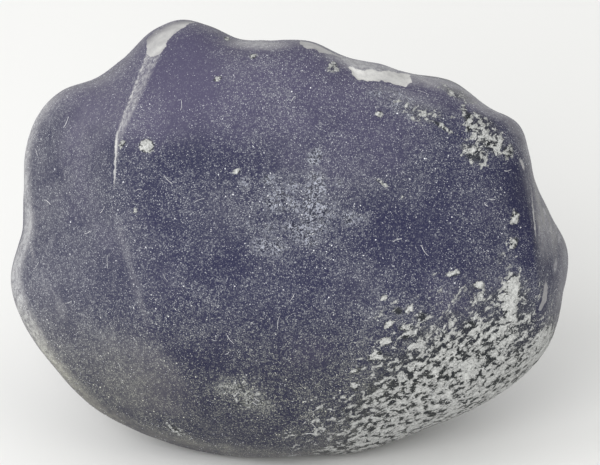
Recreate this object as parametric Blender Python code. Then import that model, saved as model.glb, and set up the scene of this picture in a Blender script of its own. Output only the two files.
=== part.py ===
"""A fluorite crystal that dissolving water has rounded: one solid, resting on a flat underside.

The crystal's outline is drawn on a plane that leans back, and both of its sides swell from that
outline: a broad front with a ridge down its left and a crease at its right, and a back of three
rounded faces. Shallow scars are then struck out of its edges, and the underside is cut flat.
"""

import math

import bmesh
import bpy
import numpy as np
from mathutils import Matrix

# Driving dimensions, in metres and degrees
MM = 0.001
LEAN = 25.0  # how far the outline's plane leans back from upright
FRONT_SWELL = 15.0 * MM  # the front's height over the outline's plane
SOLE_DROP = 17.0 * MM  # from the outline's centre down to the flat underside
GRID = 64  # squares along each edge of the starting cube
TRIANGLES = 9200  # about how many are left where the surface bends

# The outline, seen square on: angle from the right-hand side, and millimetres from the centre
OUTLINE = (
    (0, 24.9), (8, 23.5), (16, 22.9), (22, 23.3), (29, 23.5), (36, 22.0), (46, 20.9),
    (55, 19.3), (64, 18.7), (73, 18.3), (84, 19.1), (97, 19.1), (104, 19.6), (110, 21.4),
    (115, 22.8), (121, 23.2), (132, 22.5), (138, 22.9), (145, 24.9), (151, 25.8), (159, 25.7),
    (167, 24.6), (175, 23.8), (186, 24.9), (195, 24.3), (207, 23.4), (218, 22.6), (230, 21.1),
    (245, 19.4), (260, 18.6), (275, 18.5), (290, 19.0), (303, 19.7), (315, 20.9), (326, 22.3),
    (336, 23.9), (343, 24.7), (350, 24.9),
)  # fmt: skip
FULL_TURN = 360.0

# The outline's notches and lobes die out away from it, into a plainer outline a little inside it
PLAIN_WAVES = 3
PLAIN_INSET = 0.9  # millimetres
NOTCH_FADE = (5.0, 12.0)  # at the front and at the back
LOBE_FADE = 2.2  # at the back, where a lobe dies out sooner than a notch

# How square the shoulder between a side and the outline is, by angle: 2 is an ellipse
FRONT_SHOULDER = ((0, 6.0), (60, 6.5), (120, 5.2), (160, 3.4), (215, 2.5), (270, 2.5), (330, 3.4))
BACK_SHOULDER = ((0, 2.7), (90, 3.2), (180, 2.6), (270, 2.4))

# The front's dome
DOME_CENTRE = (2.0 * MM, 1.0 * MM)
DOME_FALL = (4.5, 6.5)  # metres of height lost for each square metre of offset

# The ridge down its left bows out to the left at one height, and softens downwards
RIDGE_OUT = -15.5 * MM
RIDGE_HEIGHT = 6.3 * MM
RIDGE_BOW = (17.0, 28.0)  # metres sideways for each square metre of height, below and above
RIDGE_FALL = 0.62  # slope of the face on the left of the ridge
RIDGE_CRISP = 0.3 * MM
RIDGE_SOFT = 2.0 * MM
RIDGE_FADES = (7.0 * MM, -12.0 * MM)  # crisp above the first height, soft below the second

# The bevel on the right of the ridge's top
BEVEL_FOOT = 10.5 * MM
BEVEL_WIDENS = 0.17
BEVEL_FALL = 0.34

# The crease at the right, where the front turns into a narrow steep side
CREASE_OUT = 22.0 * MM
CREASE_LEAN = -0.09
SIDE_FALL = 2.6
CREASE_ROUND = 0.5 * MM

# The back's three faces: depth behind the outline, and slopes to the right and upwards
BACK_FACES = (
    (18.9 * MM, -0.40, 0.06),
    (18.0 * MM, 0.30, 0.16),
    (20.9 * MM, 0.04, -0.62),
)
BACK_EDGES_ROUND = 3.2 * MM

# Low swells that cross the whole surface: length of a wave, height, heading and start
SWELLS = (
    (23.0 * MM, 0.26 * MM, (0.55, 0.75, 0.35), 0.4),
    (14.0 * MM, 0.17 * MM, (-0.70, 0.35, 0.62), 1.9),
    (9.0 * MM, 0.09 * MM, (0.30, -0.62, 0.72), 3.1),
)

# Scars: angle round the outline, rise to the front, half length, half width, depth, turn
SCARS = {
    "peak": (119.0, 15.0, 2.3 * MM, 1.6 * MM, 0.34 * MM, 8.0),
    "crest": (62.0, 19.0, 3.2 * MM, 1.2 * MM, 0.36 * MM, -4.0),
    "brow": (80.5, 13.0, 2.4 * MM, 1.0 * MM, 0.28 * MM, 6.0),
    "saddle": (99.0, 12.0, 2.4 * MM, 0.9 * MM, 0.24 * MM, 0.0),
    "shoulder": (43.0, 13.0, 2.5 * MM, 1.2 * MM, 0.28 * MM, 10.0),
    "right_foot": (-10.0, 12.0, 2.9 * MM, 1.1 * MM, 0.30 * MM, -6.0),
    "left_corner": (190.0, 10.0, 3.0 * MM, 1.2 * MM, 0.30 * MM, 4.0),
    "back_high": (70.0, -40.0, 4.2 * MM, 2.8 * MM, 0.80 * MM, 20.0),
    "back_left": (168.0, -36.0, 3.6 * MM, 2.2 * MM, 0.60 * MM, 70.0),
    "back_right": (10.0, -30.0, 3.2 * MM, 2.4 * MM, 0.65 * MM, -50.0),
    "back_low": (248.0, -56.0, 3.0 * MM, 1.9 * MM, 0.45 * MM, 10.0),
}

# The frosted violet of the crystal's surface
VIOLET = (0.115, 0.110, 0.165, 1.0)
FROST_ROUGHNESS = 0.62


def around(angle, points):
    """A smooth closed curve through (angle, value) points, read at any angles in degrees."""
    at = np.array([p[0] for p in points], float)
    value = np.array([p[1] for p in points], float)
    count = len(at)
    at = np.concatenate([at - FULL_TURN, at, at + FULL_TURN])
    value = np.tile(value, 3)
    slope = np.gradient(value, at)
    angle = np.mod(angle, FULL_TURN)
    i = np.clip(np.searchsorted(at, angle, side="right") - 1, count - 1, 2 * count)
    span = at[i + 1] - at[i]
    t = (angle - at[i]) / span
    start = (1 + 2 * t) * (1 - t) ** 2 * value[i] + t * (1 - t) ** 2 * span * slope[i]
    end = t * t * (3 - 2 * t) * value[i + 1] + t * t * (t - 1) * span * slope[i + 1]
    return start + end


def plain_outline(angle):
    """The outline with only its longest waves, drawn in a little."""
    even = np.arange(FULL_TURN)
    waves = np.fft.rfft(around(even, OUTLINE))
    waves[PLAIN_WAVES + 1 :] = 0
    plain = np.fft.irfft(waves, len(even)) - PLAIN_INSET
    return np.interp(angle, even, plain, period=FULL_TURN)


def smooth_step(value, low, high):
    t = np.clip((value - low) / (high - low), 0, 1)
    return t * t * (3 - 2 * t)


def lower_of(a, b, rounding):
    """The lower of two heights, with the edge between them rounded over that height."""
    share = np.clip(0.5 + 0.5 * (b - a) / rounding, 0, 1)
    return b + (a - b) * share - rounding * share * (1 - share)


def dome(x, v):
    across = DOME_FALL[0] * (x - DOME_CENTRE[0]) ** 2
    along = DOME_FALL[1] * (v - DOME_CENTRE[1]) ** 2
    return FRONT_SWELL - across - along


def front_height(x, v):
    """Height of the front over the outline's plane, before its shoulder falls to the outline."""
    up = v - RIDGE_HEIGHT
    ridge = RIDGE_OUT + np.where(up < 0, RIDGE_BOW[0], RIDGE_BOW[1]) * up**2
    fade = smooth_step(v, RIDGE_FADES[1], RIDGE_FADES[0])
    rounding = RIDGE_SOFT + (RIDGE_CRISP - RIDGE_SOFT) * fade
    left = lower_of(0.0 * x, RIDGE_FALL * (x - ridge), rounding)
    width = BEVEL_WIDENS * np.maximum(v - BEVEL_FOOT, 0)
    left = left - BEVEL_FALL * np.clip(ridge + width - x, 0, width)
    crease = CREASE_OUT + CREASE_LEAN * v
    side = dome(crease, v) + SIDE_FALL * (crease - x)
    return lower_of(dome(x, v) + left, side, CREASE_ROUND)


def back_height(x, v):
    """Depth of the back behind the outline's plane: three faces that meet in rounded edges."""
    right, left, top = [depth + across * x + up * v for depth, across, up in BACK_FACES]
    return lower_of(lower_of(right, left, BACK_EDGES_ROUND), top, BACK_EDGES_ROUND)


def whole(direction):
    """The unscarred surface in each direction from the outline's centre: right, up, forward."""
    flat = np.hypot(direction[:, 0], direction[:, 1])
    angle = np.degrees(np.arctan2(direction[:, 1], direction[:, 0]))
    front = direction[:, 2] >= 0
    square = np.where(front, around(angle, FRONT_SHOULDER), around(angle, BACK_SHOULDER))
    shoulder = np.clip(1 - flat**square, 0, 1) ** (1 / square)
    plain = plain_outline(angle)
    lobe = around(angle, OUTLINE) - plain
    fade = flat ** np.where(front, *NOTCH_FADE)
    fade = np.where(~front & (lobe > 0), (1 - shoulder) ** LOBE_FADE, fade)
    reach = (plain + lobe * fade) * MM
    x = reach * direction[:, 0]
    v = reach * direction[:, 1]
    height = np.where(front, front_height(x, v), -back_height(x, v)) * shoulder
    point = np.stack([x, v, height], axis=1)
    return point + swell(point)[:, None] * direction


def swell(point):
    total = np.zeros(len(point))
    for length, height, heading, start in SWELLS:
        along = point @ np.array(heading) * (2 * math.pi / length) + start
        total += height * np.sin(along + 0.8 * np.sin(0.6 * along))
    return total


def towards(angle, rise):
    """A direction from the outline's centre, as a row of one."""
    a, r = math.radians(angle), math.radians(rise)
    return np.array([[math.cos(a) * math.cos(r), math.sin(a) * math.cos(r), math.sin(r)]])


def frame_at(angle, rise, turn, reach=2.0):
    """The surface's point there and its axes: along the outline, across it, and outwards."""
    along = (whole(towards(angle + reach, rise)) - whole(towards(angle - reach, rise)))[0]
    across = (whole(towards(angle, rise + reach)) - whole(towards(angle, rise - reach)))[0]
    out = np.cross(along, across)
    out = out / np.linalg.norm(out)
    along = along / np.linalg.norm(along)
    across = np.cross(out, along)
    t = math.radians(turn)
    axes = (
        math.cos(t) * along + math.sin(t) * across,
        math.cos(t) * across - math.sin(t) * along,
        out,
    )
    return whole(towards(angle, rise))[0], axes


def struck(point, angle, rise, half_length, half_width, depth, turn):
    """The surface with one shallow dish struck out of it."""
    place, (along, across, out) = frame_at(angle, rise, turn)
    offset = point - place
    spread = (offset @ along / half_length) ** 2 + (offset @ across / half_width) ** 2
    over = offset @ out + depth * (1 - spread)
    return point - np.maximum(over, 0)[:, None] * out


def crystal(direction):
    point = whole(direction)
    for scar in SCARS.values():
        point = struck(point, *scar)
    return point


def make_material():
    material = bpy.data.materials.new("frosted_violet")
    material.use_nodes = True
    shader = material.node_tree.nodes["Principled BSDF"]
    shader.inputs["Base Color"].default_value = VIOLET
    shader.inputs["Roughness"].default_value = FROST_ROUGHNESS
    shader.inputs["Metallic"].default_value = 0.0
    material.diffuse_color = VIOLET
    return material


def make_body(collection):
    """The rounded body: a cube of small squares, blown out to the crystal's surface."""
    bm = bmesh.new()
    bmesh.ops.create_cube(bm, size=2.0)
    bmesh.ops.subdivide_edges(bm, edges=bm.edges[:], cuts=GRID - 1, use_grid_fill=True)
    bmesh.ops.triangulate(bm, faces=bm.faces[:])
    cube = np.array([vertex.co for vertex in bm.verts])
    even = np.tan(cube * math.pi / 4)
    surface = crystal(even / np.linalg.norm(even, axis=1)[:, None])
    for vertex, place in zip(bm.verts, surface):
        vertex.co = place
    mesh = bpy.data.meshes.new("fluorite_crystal")
    bm.to_mesh(mesh)
    bm.free()
    body = bpy.data.objects.new("fluorite_crystal", mesh)
    body.data.materials.append(make_material())
    collection.objects.link(body)
    return body


def thin_out(body):
    """Merges the small triangles where the surface is plain and keeps them where it bends."""
    fewer = body.modifiers.new("fewer triangles", "DECIMATE")
    fewer.ratio = TRIANGLES / len(body.data.polygons)
    graph = bpy.context.evaluated_depsgraph_get()
    body.data = bpy.data.meshes.new_from_object(body.evaluated_get(graph))
    body.modifiers.clear()


def settle(body):
    """Stands the crystal up, cuts its underside flat and sets its origin in the middle there."""
    bm = bmesh.new()
    bm.from_mesh(body.data)
    bm.transform(Matrix.Rotation(math.radians(90.0 - LEAN), 4, "X"))
    cut = bmesh.ops.bisect_plane(
        bm,
        geom=bm.verts[:] + bm.edges[:] + bm.faces[:],
        plane_co=(0.0, 0.0, -SOLE_DROP),
        plane_no=(0.0, 0.0, -1.0),
        clear_outer=True,
    )
    rim = [part for part in cut["geom_cut"] if isinstance(part, bmesh.types.BMEdge)]
    bmesh.ops.contextual_create(bm, geom=rim)
    bmesh.ops.recalc_face_normals(bm, faces=bm.faces[:])
    places = np.array([vertex.co for vertex in bm.verts])
    middle = (places.min(axis=0) + places.max(axis=0)) / 2
    bmesh.ops.translate(bm, verts=bm.verts[:], vec=(-middle[0], -middle[1], SOLE_DROP))
    bm.to_mesh(body.data)
    bm.free()
    body.data.shade_smooth()
    body.data.set_sharp_from_angle(angle=math.radians(35))
    print("outline centre is at", -middle[0], -middle[1], SOLE_DROP)


def main():
    for old in list(bpy.data.objects):
        bpy.data.objects.remove(old, do_unlink=True)
    parts = bpy.data.collections.new("fluorite crystal")
    bpy.context.scene.collection.children.link(parts)
    body = make_body(parts)
    thin_out(body)
    settle(body)


main()
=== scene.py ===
# %% [markdown]
# # A frosted fluorite crystal
# The object is one lump of dark violet fluorite, about 50 mm wide. Water has dissolved its sharp
# cube edges, so its faces are smooth and frosted, its edges are rounded or chipped, and a white
# chalky crust sticks to its lower right. This lesson rebuilds it in the order in which a maker
# would think of it: the form, its scars, its fine relief, its stains, and last its light.

import math

import bmesh
import bpy
import numpy as np
from mathutils import Matrix, Vector, noise
from mathutils.bvhtree import BVHTree


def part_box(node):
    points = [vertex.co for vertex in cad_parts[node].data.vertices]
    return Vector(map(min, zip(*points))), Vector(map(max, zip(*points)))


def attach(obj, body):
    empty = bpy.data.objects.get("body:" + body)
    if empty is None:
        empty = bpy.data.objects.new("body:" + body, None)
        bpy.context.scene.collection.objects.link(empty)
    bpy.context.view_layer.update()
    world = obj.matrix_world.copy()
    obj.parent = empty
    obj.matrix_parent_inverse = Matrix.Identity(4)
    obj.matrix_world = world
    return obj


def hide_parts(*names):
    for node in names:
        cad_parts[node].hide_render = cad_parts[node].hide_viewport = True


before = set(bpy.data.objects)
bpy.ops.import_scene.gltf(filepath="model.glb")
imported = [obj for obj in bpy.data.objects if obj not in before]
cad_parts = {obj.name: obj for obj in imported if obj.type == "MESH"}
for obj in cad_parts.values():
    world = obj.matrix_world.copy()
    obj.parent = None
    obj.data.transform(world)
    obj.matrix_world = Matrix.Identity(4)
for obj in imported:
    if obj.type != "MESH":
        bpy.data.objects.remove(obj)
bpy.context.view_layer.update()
CRYSTAL = "fluorite_crystal"
BODY = "root"
MM = 0.001
low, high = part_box(CRYSTAL)
print("the solid crystal measures", [round((b - a) / MM, 2) for a, b in zip(low, high)], "mm")

# %% [markdown]
# ## The directions that the form is drawn in
# The crystal leans back, so its form is easiest to describe square on to its broad front: x to
# the right, v up along the leaning front, and w out of it towards the viewer. Three arrows say
# where those directions point in the room, and one matrix turns drawn points into room points.

# %% The leaning directions
LEAN = math.radians(25.0)
RIGHT = Vector((1.0, 0.0, 0.0))
UP_THE_FRONT = Vector((0.0, math.sin(LEAN), math.cos(LEAN)))
OUT_OF_THE_FRONT = Vector((0.0, -math.cos(LEAN), math.sin(LEAN)))
STAND_UP = np.array([RIGHT, UP_THE_FRONT, OUT_OF_THE_FRONT])
SOLE_DROP = 17.0 * MM
print("the front looks towards", [round(part, 3) for part in OUT_OF_THE_FRONT])

# %% [markdown]
# ## The outline
# Seen square on, the crystal's edge is one closed line with a peak, a saddle, two lobes and some
# notches. It could be drawn as a curve object, but a list of angles and distances is enough, and
# a smooth curve is passed through it. These are the same numbers that the solid was made from.

# %% The outline, as angle from the right and millimetres from the centre
OUTLINE = (
    (0, 24.9), (8, 23.5), (16, 22.9), (22, 23.3), (29, 23.5), (36, 22.0), (46, 20.9),
    (55, 19.3), (64, 18.7), (73, 18.3), (84, 19.1), (97, 19.1), (104, 19.6), (110, 21.4),
    (115, 22.8), (121, 23.2), (132, 22.5), (138, 22.9), (145, 24.9), (151, 25.8), (159, 25.7),
    (167, 24.6), (175, 23.8), (186, 24.9), (195, 24.3), (207, 23.4), (218, 22.6), (230, 21.1),
    (245, 19.4), (260, 18.6), (275, 18.5), (290, 19.0), (303, 19.7), (315, 20.9), (326, 22.3),
    (336, 23.9), (343, 24.7), (350, 24.9),
)  # fmt: skip
FULL_TURN = 360.0
PLAIN_WAVES = 3
PLAIN_INSET = 0.9


def around(angle, points):
    """A smooth closed curve through (angle, value) points, read at any angles in degrees."""
    at = np.array([p[0] for p in points], float)
    value = np.array([p[1] for p in points], float)
    count = len(at)
    at = np.concatenate([at - FULL_TURN, at, at + FULL_TURN])
    value = np.tile(value, 3)
    slope = np.gradient(value, at)
    angle = np.mod(angle, FULL_TURN)
    i = np.clip(np.searchsorted(at, angle, side="right") - 1, count - 1, 2 * count)
    span = at[i + 1] - at[i]
    t = (angle - at[i]) / span
    start = (1 + 2 * t) * (1 - t) ** 2 * value[i] + t * (1 - t) ** 2 * span * slope[i]
    end = t * t * (3 - 2 * t) * value[i + 1] + t * t * (t - 1) * span * slope[i + 1]
    return start + end


def plain_outline(angle):
    """The outline with only its longest waves, drawn in a little."""
    even = np.arange(FULL_TURN)
    waves = np.fft.rfft(around(even, OUTLINE))
    waves[PLAIN_WAVES + 1 :] = 0
    plain = np.fft.irfft(waves, len(even)) - PLAIN_INSET
    return np.interp(angle, even, plain, period=FULL_TURN)


print("the outline runs from", min(p[1] for p in OUTLINE), "to", max(p[1] for p in OUTLINE), "mm out")

# %% [markdown]
# ## The front and the back
# The front is a broad dome. A ridge bows down its left, with a narrow bevel beside the ridge's
# top, and a crease at the right turns it into a steep side. The back, which nobody sees in a
# shop's photograph, is three rounded faces. Each is a height over the outline's plane, and the
# lower of two heights gives the edge where two faces meet.

# %% Heights over the outline's plane
FRONT_SWELL = 15.0 * MM
DOME_CENTRE = (2.0 * MM, 1.0 * MM)
DOME_FALL = (4.5, 6.5)
RIDGE_OUT = -15.5 * MM
RIDGE_HEIGHT = 6.3 * MM
RIDGE_BOW = (17.0, 28.0)
RIDGE_FALL = 0.62
RIDGE_CRISP = 0.3 * MM
RIDGE_SOFT = 2.0 * MM
RIDGE_FADES = (7.0 * MM, -12.0 * MM)
BEVEL_FOOT = 10.5 * MM
BEVEL_WIDENS = 0.17
BEVEL_FALL = 0.34
CREASE_OUT = 22.0 * MM
CREASE_LEAN = -0.09
SIDE_FALL = 2.6
CREASE_ROUND = 0.3 * MM
BACK_FACES = ((18.9 * MM, -0.40, 0.06), (18.0 * MM, 0.30, 0.16), (20.9 * MM, 0.04, -0.62))
BACK_EDGES_ROUND = 3.2 * MM


def smooth_step(value, start, end):
    """Nothing below start, one above end, and smooth between them."""
    t = np.clip((value - start) / (end - start), 0, 1)
    return t * t * (3 - 2 * t)


def lower_of(a, b, rounding):
    """The lower of two heights, with the edge between them rounded over that height."""
    share = np.clip(0.5 + 0.5 * (b - a) / rounding, 0, 1)
    return b + (a - b) * share - rounding * share * (1 - share)


def dome(x, v):
    """The broad front, falling away all round from its highest point."""
    across = DOME_FALL[0] * (x - DOME_CENTRE[0]) ** 2
    along = DOME_FALL[1] * (v - DOME_CENTRE[1]) ** 2
    return FRONT_SWELL - across - along


def ridge_line(v):
    """How far out the bowed ridge lies at each height."""
    up = v - RIDGE_HEIGHT
    return RIDGE_OUT + np.where(up < 0, RIDGE_BOW[0], RIDGE_BOW[1]) * up**2


def front_height(x, v):
    """The dome with the fall left of the ridge, the bevel beside it and the steep right side."""
    fade = smooth_step(v, RIDGE_FADES[1], RIDGE_FADES[0])
    rounding = RIDGE_SOFT + (RIDGE_CRISP - RIDGE_SOFT) * fade
    left = lower_of(0.0 * x, RIDGE_FALL * (x - ridge_line(v)), rounding)
    width = BEVEL_WIDENS * np.maximum(v - BEVEL_FOOT, 0)
    left = left - BEVEL_FALL * np.clip(ridge_line(v) + width - x, 0, width)
    crease = CREASE_OUT + CREASE_LEAN * v
    side = dome(crease, v) + SIDE_FALL * (crease - x)
    return lower_of(dome(x, v) + left, side, CREASE_ROUND)


def back_height(x, v):
    """The back's three faces, with rounded edges between them."""
    right, left, top = [depth + across * x + up * v for depth, across, up in BACK_FACES]
    return lower_of(lower_of(right, left, BACK_EDGES_ROUND), top, BACK_EDGES_ROUND)


print("the front stands", round(float(front_height(0.0, np.array(0.0))) / MM, 1), "mm over the outline")

# %% [markdown]
# ## The whole surface
# Every direction from the middle of the outline meets the surface once, so a ball of small
# squares can be blown out to it, square by square. How quickly a face turns down to the outline
# is its shoulder: high numbers give the almost flat front and crisp top edge, and numbers near
# two give the ball-like bottom. Three long, low swells keep any face from being quite regular.

# %% A point of the surface in any direction
FRONT_SHOULDER = ((0, 6.0), (60, 6.5), (120, 5.2), (160, 3.4), (215, 2.5), (270, 2.5), (330, 3.4))
BACK_SHOULDER = ((0, 2.7), (90, 3.2), (180, 2.6), (270, 2.4))
NOTCH_FADE = (5.0, 12.0)
LOBE_FADE = 2.2
SWELLS = (
    (23.0 * MM, 0.26 * MM, (0.55, 0.75, 0.35), 0.4),
    (14.0 * MM, 0.17 * MM, (-0.70, 0.35, 0.62), 1.9),
    (9.0 * MM, 0.09 * MM, (0.30, -0.62, 0.72), 3.1),
)


def swell(point):
    """Three long, low waves that cross each other, added up."""
    total = np.zeros(len(point))
    for length, height, heading, start in SWELLS:
        along = point @ np.array(heading) * (2 * math.pi / length) + start
        total += height * np.sin(along + 0.8 * np.sin(0.6 * along))
    return total


def whole(direction):
    """The unscarred surface in each direction from the outline's centre, as x, v and w."""
    flat = np.hypot(direction[:, 0], direction[:, 1])
    angle = np.degrees(np.arctan2(direction[:, 1], direction[:, 0]))
    front = direction[:, 2] >= 0
    square = np.where(front, around(angle, FRONT_SHOULDER), around(angle, BACK_SHOULDER))
    shoulder = np.clip(1 - flat**square, 0, 1) ** (1 / square)
    plain = plain_outline(angle)
    lobe = around(angle, OUTLINE) - plain
    fade = flat ** np.where(front, *NOTCH_FADE)
    fade = np.where(~front & (lobe > 0), (1 - shoulder) ** LOBE_FADE, fade)
    reach = (plain + lobe * fade) * MM
    x = reach * direction[:, 0]
    v = reach * direction[:, 1]
    height = np.where(front, front_height(x, v), -back_height(x, v)) * shoulder
    point = np.stack([x, v, height], axis=1)
    return point + swell(point)[:, None] * direction


def towards(angle, rise):
    """A direction from the outline's centre, as a row of one."""
    a, r = math.radians(angle), math.radians(rise)
    return np.array([[math.cos(a) * math.cos(r), math.sin(a) * math.cos(r), math.sin(r)]])


print("the lowest point is", round(float(whole(towards(270, -20))[0][1]) / MM, 1), "mm below the centre")

# %% [markdown]
# ## The ball of squares
# A ball made from a cube has squares of nearly one size and no poles, so relief sits on it
# evenly. A grid on each face of a cube is bent to the ball with a tangent, which evens it out.
# 128 squares an edge make squares of about 0.3 mm, the finest that stays under 200,000 triangles.

# %% Directions of an even cube ball
GRID = 128


def make_ball(grid):
    """A closed cube of small squares, as a bmesh, and the direction of each of its points."""
    bm = bmesh.new()
    bmesh.ops.create_cube(bm, size=2.0)
    bmesh.ops.subdivide_edges(bm, edges=bm.edges[:], cuts=grid - 1, use_grid_fill=True)
    cube = np.array([vertex.co for vertex in bm.verts])
    even = np.tan(cube * math.pi / 4)
    return bm, even / np.linalg.norm(even, axis=1)[:, None]


ball, directions = make_ball(GRID)
surface = whole(directions)
print("the ball has", len(ball.faces), "squares and", len(ball.verts), "points")

# %% [markdown]
# ## Chips on the front
# Where the crystal was knocked, a pale flat break shows: one on the peak, a long bright one on
# the crest, a small one on the brow between them and two slivers at the right. Each is a small
# closed outline on the front, in millimetres, drawn past the silhouette where it runs over the
# edge. How far a point lies inside it gives both the depth of the break, which falls in one
# crisp step, and later its colour.

# %% Chip outlines, each with its depth in millimetres and its paleness
CHIPS = {
    "peak": (
        (0.12, 0.74),
        ((-12.8, 17.5), (-12.9, 19.2), (-12.9, 22.5), (-7.0, 22.5), (-7.4, 20.9), (-9.1, 20.1),
         (-10.1, 19.5), (-10.75, 18.9), (-11.1, 18.1), (-11.65, 17.45), (-12.3, 17.1)),
    ),
    "crest": (
        (0.22, 1.0),
        ((5.15, 16.5), (5.6, 15.6), (6.05, 15.15), (6.9, 15.0), (8.1, 15.05), (9.0, 14.85),
         (10.3, 14.5), (10.95, 15.05), (10.7, 15.7), (9.0, 15.95), (7.3, 16.05), (6.3, 16.05)),
    ),
    "brow": (
        (0.10, 0.60),
        ((0.6, 19.9), (0.9, 18.3), (1.5, 17.9), (2.2, 18.0), (2.7, 17.6), (3.6, 17.5), (4.4, 17.1),
         (4.9, 17.2), (4.2, 18.1), (3.6, 19.9)),
    ),
    "shoulder_line": (
        (0.08, 0.5),
        ((20.3, 8.3), (20.55, 8.3), (21.05, 7.0), (20.8, 6.9)),
    ),
    "side_sliver": (
        (0.06, 0.42),
        ((22.85, -2.5), (23.05, -3.3), (22.85, -4.5), (22.4, -5.3), (22.1, -5.5), (22.45, -4.4),
         (22.6, -3.3)),
    ),
}  # fmt: skip
CHIP_RIM = 0.22 * MM


def inside_by(point, corners):
    """How far each point lies inside a closed outline, in metres: less than nothing outside."""
    corners = np.array(corners) * MM
    nearest = np.full(len(point), np.inf)
    within = np.zeros(len(point), bool)
    for a, b in zip(corners, np.roll(corners, -1, axis=0)):
        along = b - a
        share = np.clip((point - a) @ along / (along @ along), 0, 1)
        nearest = np.minimum(nearest, np.linalg.norm(point - a - share[:, None] * along, axis=1))
        # A level side is never crossed, so any number but zero will do for its rise.
        level = (point[:, 1] - a[1]) / (along[1] if along[1] else MM**2)
        crosses = (a[1] > point[:, 1]) != (b[1] > point[:, 1])
        within ^= crosses & (point[:, 0] < a[0] + level * along[0])
    return np.where(within, nearest, -nearest)


def wobble(point, size, seed):
    """Blender's own noise, from about -1 to 1, read at each point with lumps of that size."""
    shift = Vector((seed * 17.3, seed * 5.1, seed * 9.7))
    return np.array([noise.noise(Vector(p) / size + shift) for p in point])


def layered(point, *layers):
    """Several noises added up, each given as its strength, its size and its seed."""
    return sum(strength * wobble(point, size, seed) for strength, size, seed in layers)


print("the chips are", ", ".join(CHIPS))

# %% [markdown]
# ## Striking the breaks
# A real break doesn't stop at a straight line, so noise makes the rims ragged. It also ends a
# break raggedly where the surface turns over the top, and lets the pale colour fade towards there,
# because a knock on an edge leaves little on the far side of it.

# %% Strike the breaks out of the surface
FAR_OUTSIDE = -1.0 * MM
CHIPS_BEYOND = 14.0 * MM
CHIPS_BEHIND = -2.5 * MM
RAGGED_BY = 0.13 * MM
BREAKS_END = 4.2 * MM
ENDS_STRAY = 1.4 * MM
PALE_FROM = (4.5 * MM, 7.0 * MM)
PALE_OVER_THE_TOP = 0.35
MOTTLED_BY = 0.30

outward = surface / np.linalg.norm(surface, axis=1)[:, None]
near_edge = np.hypot(surface[:, 0], surface[:, 1]) > CHIPS_BEYOND
near_chips = (surface[:, 2] > CHIPS_BEHIND) & near_edge
ragged = np.zeros(len(surface))
ragged[near_chips] = RAGGED_BY * wobble(surface[near_chips], 0.5 * MM, 1)
last = np.full(len(surface), FAR_OUTSIDE)
stray = ENDS_STRAY * wobble(surface[near_chips], 1.5 * MM, 16)
last[near_chips] = surface[near_chips, 2] - BREAKS_END + stray
scar = np.full(len(surface), FAR_OUTSIDE)
pale = np.zeros(len(surface))
for (depth, paleness), corners in CHIPS.values():
    inside = np.where(near_chips, inside_by(surface[:, :2], corners) + ragged, FAR_OUTSIDE)
    inside = np.minimum(inside, last)
    surface -= (depth * MM * smooth_step(inside, 0, CHIP_RIM))[:, None] * outward
    pale = np.where(inside > -2 * CHIP_RIM, paleness, pale)
    scar = np.maximum(scar, inside)
pale *= PALE_OVER_THE_TOP + (1 - PALE_OVER_THE_TOP) * smooth_step(surface[:, 2], *PALE_FROM)
pale[near_chips] *= 1 + MOTTLED_BY * wobble(surface[near_chips], 0.9 * MM, 19)
print("chips touch", int((scar > 0).sum()), "points")

# %% [markdown]
# ## Scars on the back
# Nobody has seen this crystal's back, so it gets what such a crystal has: a few shallow dishes
# where pieces flaked off. Each is a dish as deep as it says, set square to the surface, with a
# ragged rim and the low rings that a shell-shaped break leaves.

# %% Dishes struck out of the back: angle, rise, half length, half width, depth and turn
DISHES = (
    (70.0, -40.0, 4.2 * MM, 2.8 * MM, 0.80 * MM, 20.0),
    (168.0, -36.0, 3.6 * MM, 2.2 * MM, 0.60 * MM, 70.0),
    (10.0, -30.0, 3.2 * MM, 2.4 * MM, 0.65 * MM, -50.0),
    (248.0, -56.0, 3.0 * MM, 1.9 * MM, 0.45 * MM, 10.0),
)
REACH = 2.0
DISH_PALENESS = 0.04
DISH_RIM = ((0.5, 2.4 * MM, 14), (0.22, 0.9 * MM, 15))
RING_HEIGHT = 0.05 * MM
RINGS = 14


def frame_at(angle, rise, turn):
    """The surface's point there and its axes: along the outline, across it, and outwards."""
    along = (whole(towards(angle + REACH, rise)) - whole(towards(angle - REACH, rise)))[0]
    across = (whole(towards(angle, rise + REACH)) - whole(towards(angle, rise - REACH)))[0]
    out = np.cross(along, across)
    out = out / np.linalg.norm(out)
    along = along / np.linalg.norm(along)
    across = np.cross(out, along)
    t = math.radians(turn)
    turned = math.cos(t) * along + math.sin(t) * across
    return whole(towards(angle, rise))[0], (turned, np.cross(out, turned), out)


for angle, rise, half_length, half_width, depth, turn in DISHES:
    place, (along, across, out) = frame_at(angle, rise, turn)
    offset = surface - place
    spread = (offset @ along / half_length) ** 2 + (offset @ across / half_width) ** 2
    spread += layered(surface, *DISH_RIM)
    rings = RING_HEIGHT * np.sin(spread * RINGS + 2 * wobble(surface, 2.0 * MM, 2))
    over = offset @ out + depth * (1 - spread) + np.where(spread < 2, rings, 0)
    surface -= np.maximum(over, 0)[:, None] * out
    pale = np.where(over > -2 * CHIP_RIM, DISH_PALENESS, pale)
    scar = np.maximum(scar, np.where(offset @ out > -3 * depth, over, FAR_OUTSIDE))
print("the back's dishes touch", int((scar[surface[:, 2] < 0] > 0).sum()), "points")

# %% [markdown]
# ## Where the crust sits
# The chalky crust is thick along the lower right and thins out towards the middle, with smaller
# drifts at the upper right, single spots on the dark stone and thin drifts behind. The thick
# drift has a drawn edge with crumbs strewn along it. The others are soft ovals on the front or
# the back, and noise breaks all of them up so that dark crystal shows between the flakes.

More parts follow.
